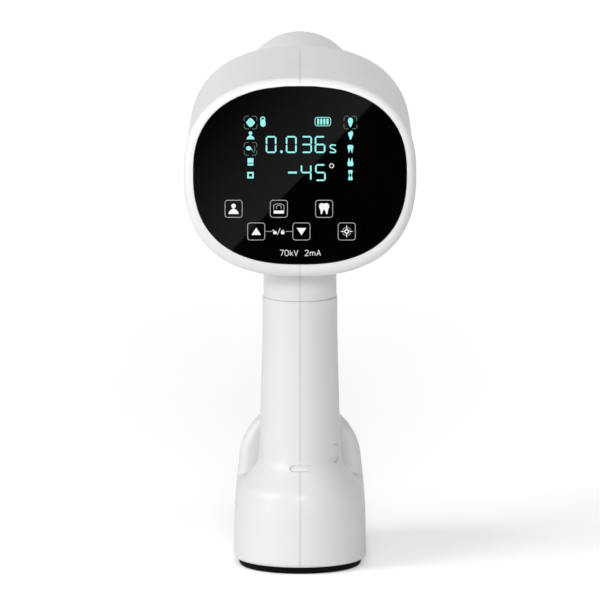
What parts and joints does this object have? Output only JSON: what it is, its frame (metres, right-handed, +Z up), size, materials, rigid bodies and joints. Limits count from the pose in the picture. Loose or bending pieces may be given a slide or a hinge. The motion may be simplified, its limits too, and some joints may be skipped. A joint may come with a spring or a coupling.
{
  "type": "handheld dental x-ray unit",
  "caption": "Handheld intraoral x-ray unit: rounded head with tilted touch screen and aiming cone, pistol grip with trigger, and a battery base it stands on.",
  "frame": {"origin": "centre of the underside of the rubber foot, which rests on the table", "axes": "+X to the operator's right as they see the screen, +Y along the x-ray beam, away from the operator, +Z up"},
  "size_m": [0.1265, 0.2485, 0.2724],
  "materials": {
    "cover": "satin white ABS",
    "cone": "satin white ABS tube",
    "trigger": "grey moulded key",
    "plug": "soft light plug",
    "black_glass": "back-printed black cover glass",
    "dark_plastic": "black moulded plastic",
    "inner_plastic": "glass-filled nylon",
    "circuit_board": "green solder mask",
    "brass": "turned brass",
    "steel": "zinc-plated steel",
    "ribbon": "polyimide ribbon",
    "aluminium": "machined aluminium",
    "rubber": "oil-resistant rubber",
    "lead": "rolled lead sheet",
    "tube_glass": "borosilicate glass",
    "copper": "copper",
    "nickel": "nickel",
    "ferrite": "sintered ferrite",
    "ceramic": "blue coated ceramic",
    "window": "polycarbonate window",
    "foot_rubber": "black rubber foot",
    "cell_sleeve": "shrink sleeve",
    "cable": "braided wire loom"
  },
  "bodies": {
    "root": {"base_plate": "inner_plastic", "base_screws": "steel", "battery_board": "circuit_board", "battery_cells": "cell_sleeve", "battery_cover": "cover", "board_posts": "brass", "board_screws": "steel", "board_standoffs": "brass", "bulk_capacitors": "dark_plastic", "button_spring": "steel", "cell_holders": "inner_plastic", "cell_links": "nickel", "charge_port": "steel", "charge_port_plug": "plug", "collimator_disc": "lead", "cone_end_ring": "dark_plastic", "cone_flange": "aluminium", "cone_lead_liner": "lead", "cone_tube": "cone", "control_board": "circuit_board", "cover_screws": "steel", "cradle_screws": "steel", "display_frame": "inner_plastic", "display_glass": "black_glass", "display_module": "dark_plastic", "display_ribbon": "ribbon", "flange_screws": "steel", "foot_pad": "foot_rubber", "frame_screws": "steel", "grip_cover_left": "cover", "grip_cover_right": "cover", "head_cover_left": "cover", "head_cover_right": "cover", "hv_capacitors": "ceramic", "hv_core": "ferrite", "hv_winding": "copper", "lid_screws": "steel", "multiplier_board": "circuit_board", "neck_column": "aluminium", "oil_bellows": "rubber", "port_window": "window", "power_board": "circuit_board", "power_harness": "cable", "power_switch_board": "circuit_board", "screw_plugs": "cover", "side_screws": "steel", "tank_cradle": "aluminium", "tank_lead_lining": "lead", "tank_lid": "aluminium", "tank_seal": "rubber", "touch_board": "circuit_board", "trigger_guide": "inner_plastic", "trigger_spring": "steel", "trigger_switch_board": "circuit_board", "tube_anode": "copper", "tube_cathode": "nickel", "tube_glass": "tube_glass", "xray_tank": "aluminium"},
    "trigger": {"exposure_trigger": "trigger"},
    "power_key": {"power_button": "cover"}
  },
  "joints": [
    {"name": "trigger_pull", "type": "slide", "parent": "root", "child": "trigger", "axis": [0, -1, 0], "range_m": [0, 0.0025], "stiffness_N_per_m": 900, "springref_m": -0.001, "deforming": ["trigger_spring"]},
    {"name": "power_press", "type": "slide", "parent": "root", "child": "power_key", "axis": [-0.8571, 0.5151, 0], "range_m": [0, 0.001], "stiffness_N_per_m": 1200, "springref_m": -0.0005, "deforming": ["button_spring"]}
  ]
}
